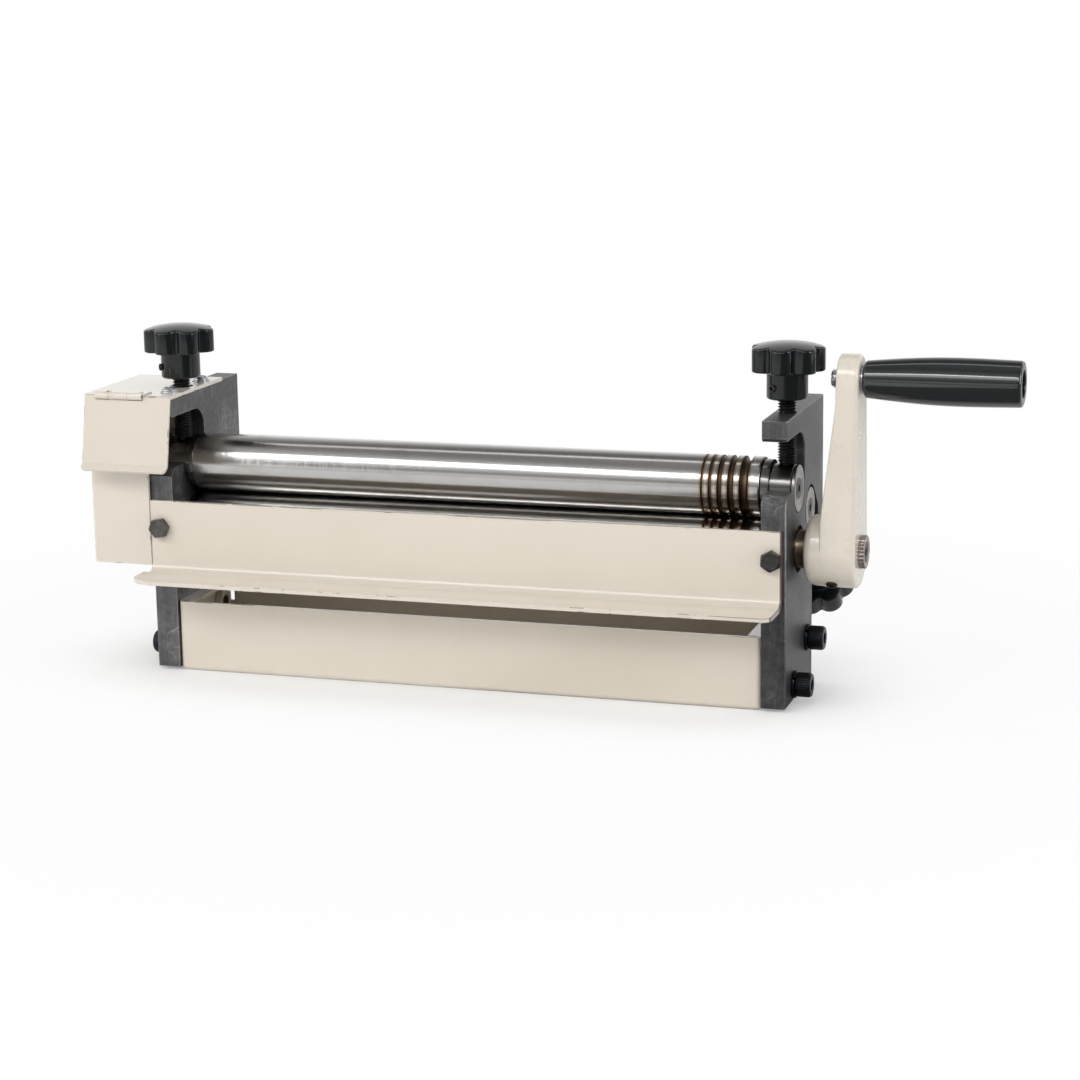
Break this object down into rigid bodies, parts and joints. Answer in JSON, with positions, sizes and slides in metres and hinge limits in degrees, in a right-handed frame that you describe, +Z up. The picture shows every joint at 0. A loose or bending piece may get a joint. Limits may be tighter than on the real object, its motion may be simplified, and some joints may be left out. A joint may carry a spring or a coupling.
{
  "type": "manual slip roll",
  "caption": "Bench-top hand-cranked slip roll: hook side plates, grooved ground rolls, geared drive, star-knob screws, bent front guard, open tray and hinged gear cover.",
  "frame": {"origin": "on the bench under the tray, midway between the side plates, below the driving rolls' axes", "axes": "+X along the rolls towards the crank, +Y to the back away from the operator, +Z up"},
  "size_m": [0.5089, 0.1581, 0.1907],
  "materials": {
    "plate_steel": "dark mill-finish steel with worn edges",
    "bush_steel": "dark turned steel",
    "roll_steel": "bright ground steel",
    "washer_steel": "turned steel",
    "dark_screws": "black oxide steel",
    "gear_steel": "machined steel",
    "cream_sheet": "satin cream powder coat with chipped edges",
    "cream_casting": "glossy cream enamel on a casting",
    "aged_brass": "dull, aged",
    "zinc": "zinc plated",
    "bolt_steel": "dull grey steel",
    "black_oxide": "black oxide steel",
    "knob_plastic": "gloss black",
    "grip_plastic": "gloss black"
  },
  "bodies": {
    "frame": {"left_side_plate": "plate_steel", "right_side_plate": "plate_steel", "left_lower_bush": "bush_steel", "right_lower_bush": "bush_steel", "base_tray": "cream_sheet", "tray_bolts": "black_oxide", "tray_spring_washers": "black_oxide", "tray_nuts": "black_oxide", "front_guard": "cream_sheet", "guard_bolts": "bolt_steel", "gear_housing": "cream_sheet", "housing_washers": "zinc", "housing_screws": "zinc", "hinge_leaf": "cream_sheet", "hinge_pin": "cream_sheet"},
    "drive": {"lower_roll": "roll_steel", "lower_gear": "gear_steel", "lower_gear_key": "gear_steel", "lower_gear_washer": "gear_steel", "lower_gear_screw": "dark_screws", "crank_arm": "cream_casting", "crank_set_screw": "aged_brass", "crank_washer": "zinc", "crank_screw": "zinc", "handle_spindle": "dark_screws", "spindle_collar": "zinc"},
    "grip": {"handle_grip": "grip_plastic"},
    "top_carriage": {"left_top_bush": "bush_steel", "right_top_bush": "bush_steel"},
    "top_roller": {"top_roll": "roll_steel", "top_gear": "gear_steel", "top_gear_key": "gear_steel", "top_gear_washer": "gear_steel", "top_gear_screw": "dark_screws", "top_end_washer": "washer_steel", "top_end_screw": "dark_screws"},
    "left_top_adjuster": {"left_top_screw": "dark_screws", "left_top_knob": "knob_plastic", "left_top_set_screw": "dark_screws"},
    "right_top_adjuster": {"right_top_screw": "dark_screws", "right_top_knob": "knob_plastic", "right_top_set_screw": "dark_screws"},
    "rear_carriage": {"left_rear_bush": "bush_steel", "right_rear_bush": "bush_steel"},
    "rear_roller": {"rear_roll": "roll_steel", "rear_end_washer": "washer_steel", "rear_end_screw": "dark_screws"},
    "left_rear_adjuster": {"left_rear_screw": "dark_screws", "left_rear_knob": "knob_plastic", "left_rear_set_screw": "dark_screws"},
    "right_rear_adjuster": {"right_rear_screw": "dark_screws", "right_rear_knob": "knob_plastic", "right_rear_set_screw": "dark_screws"},
    "door": {"gear_door": "cream_sheet"}
  },
  "joints": [
    {"name": "crank_spin", "type": "hinge", "parent": "frame", "child": "drive", "pos_m": [0, 0, 0.0812], "axis": [1, 0, 0], "continuous": true},
    {"name": "grip_spin", "type": "hinge", "parent": "drive", "child": "grip", "pos_m": [0.2535, 0, 0.1722], "axis": [1, 0, 0], "continuous": true},
    {"name": "top_lift", "type": "slide", "parent": "frame", "child": "top_carriage", "axis": [0, 0, 1], "range_m": [0, 0.016]},
    {"name": "top_roll_spin", "type": "hinge", "parent": "top_carriage", "child": "top_roller", "pos_m": [0, 0, 0.1134], "axis": [1, 0, 0], "continuous": true},
    {"name": "left_top_screw_turn", "type": "hinge", "parent": "top_carriage", "child": "left_top_adjuster", "pos_m": [-0.1726, 0, 0.16], "axis": [0, 0, 1], "range_deg": [0, 3841]},
    {"name": "right_top_screw_turn", "type": "hinge", "parent": "top_carriage", "child": "right_top_adjuster", "pos_m": [0.1726, 0, 0.16], "axis": [0, 0, 1], "range_deg": [0, 3841]},
    {"name": "rear_slide", "type": "slide", "parent": "frame", "child": "rear_carriage", "axis": [0, 0.7071, -0.7071], "range_m": [0, 0.011]},
    {"name": "rear_roll_spin", "type": "hinge", "parent": "rear_carriage", "child": "rear_roller", "pos_m": [0, 0.02835, 0.0973], "axis": [1, 0, 0], "continuous": true},
    {"name": "left_rear_screw_turn", "type": "hinge", "parent": "rear_carriage", "child": "left_rear_adjuster", "pos_m": [-0.1726, 0.02835, 0.0973], "axis": [0, 0.7071, -0.7071], "range_deg": [0, 2641]},
    {"name": "right_rear_screw_turn", "type": "hinge", "parent": "rear_carriage", "child": "right_rear_adjuster", "pos_m": [0.1726, 0.02835, 0.0973], "axis": [0, 0.7071, -0.7071], "range_deg": [0, 2641]},
    {"name": "gear_door_swing", "type": "hinge", "parent": "frame", "child": "door", "pos_m": [-0.19, -0.038, 0.1554], "axis": [-1, 0, 0], "range_deg": [-11, 159]}
  ],
  "couplings": [
    {"joint": "top_roll_spin", "follows": "crank_spin", "ratio": -1},
    {"joint": "left_top_screw_turn", "follows": "top_lift", "rad_per_m": 4188.8},
    {"joint": "right_top_screw_turn", "follows": "top_lift", "rad_per_m": 4188.8},
    {"joint": "left_rear_screw_turn", "follows": "rear_slide", "rad_per_m": 4188.8},
    {"joint": "right_rear_screw_turn", "follows": "rear_slide", "rad_per_m": 4188.8}
  ]
}
